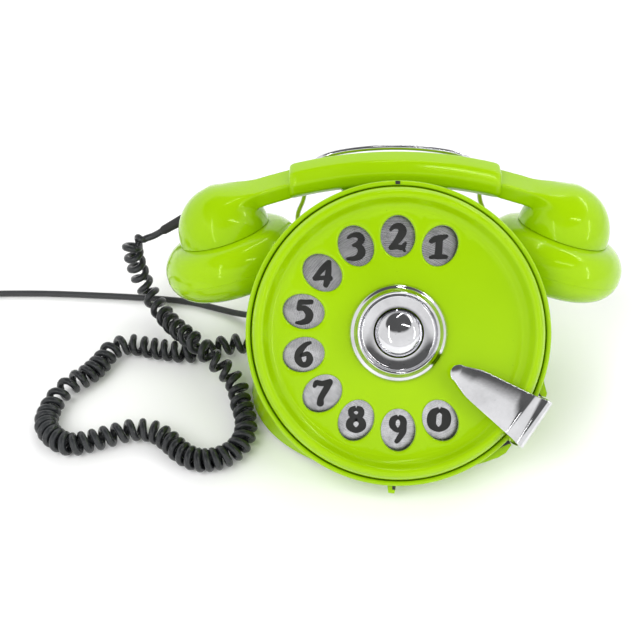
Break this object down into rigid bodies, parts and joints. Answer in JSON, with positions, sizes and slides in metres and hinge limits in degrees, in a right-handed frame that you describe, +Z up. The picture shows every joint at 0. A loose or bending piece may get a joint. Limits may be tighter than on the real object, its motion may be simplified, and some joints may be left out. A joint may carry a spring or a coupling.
{
  "type": "corded landline phone",
  "caption": "Lime-green corded landline phone with a large rotary dial, a handset across the back on a cradle, a wire handle, a curly handset cord and a coiled line cord.",
  "frame": {"origin": "bottom centre of the phone with its handset, without the free cords", "axes": "+X to the viewer's right when facing the dial, -Y towards the viewer, +Z up"},
  "size_m": [0.4552, 0.17, 0.1307],
  "materials": {
    "lime_abs": "glossy moulded lime-green ABS",
    "chrome": "bright chrome plating",
    "steel": "zinc-plated sheet steel",
    "aluminium": "satin spun aluminium",
    "brass": "machined brass",
    "rubber": "black moulded rubber",
    "grey_plastic": "grey moulded phenolic",
    "copper_winding": "enamelled copper winding",
    "board": "phenolic paper board",
    "black_cord": "glossy black vinyl cord jacket",
    "grey_cord": "dark grey vinyl cord jacket"
  },
  "bodies": {
    "root": {"base_shell": "lime_abs", "dial_bezel": "lime_abs", "base_plate": "steel", "foot_front_left": "rubber", "foot_front_right": "rubber", "foot_rear_left": "rubber", "foot_rear_right": "rubber", "base_screw_left": "steel", "base_screw_right": "steel", "number_plate": "aluminium", "finger_stop": "chrome", "dial_plate": "steel", "bearing_bush": "brass", "gear_frame": "steel", "return_spring": "steel", "pulse_switch": "grey_plastic", "carry_handle": "chrome", "cradle_saddle": "lime_abs", "hook_switch": "grey_plastic", "ringer_frame": "steel", "ringer_coil_left": "copper_winding", "ringer_coil_right": "copper_winding", "gong_left": "brass", "gong_right": "brass", "circuit_board": "board", "induction_coil": "copper_winding", "capacitor": "aluminium", "terminal_block": "grey_plastic", "line_cord_grommet": "rubber", "handset_cord_grommet": "rubber", "handset_cord": "black_cord", "handset_cord_lead": "black_cord", "handset_cord_tail": "black_cord", "line_cord": "grey_cord", "line_cord_coil": "grey_cord", "line_cord_tail": "grey_cord", "plug_body": "grey_cord", "plug_pin_1": "brass", "plug_pin_2": "brass", "plug_pin_3": "brass"},
    "dial": {"finger_wheel": "lime_abs", "hub_ring": "chrome", "hub_cap": "chrome", "dial_shaft": "steel", "main_gear": "brass"},
    "governor": {"governor_pinion": "brass", "governor_drum": "steel"},
    "handset": {"handset_shell_left": "lime_abs", "handset_shell_right": "lime_abs", "grip_sleeve": "lime_abs", "mouth_cap": "lime_abs", "ear_cap": "lime_abs", "transmitter_capsule": "aluminium", "receiver_capsule": "aluminium", "handset_strain_relief": "black_cord"},
    "hook": {"hook_plunger_left": "chrome", "hook_plunger_right": "chrome", "hook_crossbar": "steel"},
    "clapper": {"clapper": "steel"}
  },
  "joints": [
    {"name": "dial_turn", "type": "hinge", "parent": "root", "child": "dial", "pos_m": [0, -0.0323, 0.078], "axis": [0, 0.7071, -0.7071], "range_deg": [0, 325], "stiffness_Nm_per_rad": 0.02, "springref_deg": -28.65},
    {"name": "governor_spin", "type": "hinge", "parent": "root", "child": "governor", "pos_m": [0.0305, -0.0323, 0.078], "axis": [0, 0.7071, -0.7071], "range_deg": [-1310, 10]},
    {"name": "handset_lift", "type": "slide", "parent": "root", "child": "handset", "axis": [0, 0, 1], "range_m": [0, 0.15]},
    {"name": "hook_rise", "type": "slide", "parent": "root", "child": "hook", "axis": [0, 0, 1], "range_m": [0, 0.0051]},
    {"name": "clapper_swing", "type": "hinge", "parent": "root", "child": "clapper", "pos_m": [0, 0.0097, 0.0262], "axis": [0, 0, 1], "range_deg": [-2.5, 2.5], "stiffness_Nm_per_rad": 0.0005}
  ],
  "couplings": [
    {"joint": "governor_spin", "follows": "dial_turn", "ratio": -4},
    {"joint": "hook_rise", "follows": "handset_lift", "ratio": 0.033333}
  ]
}
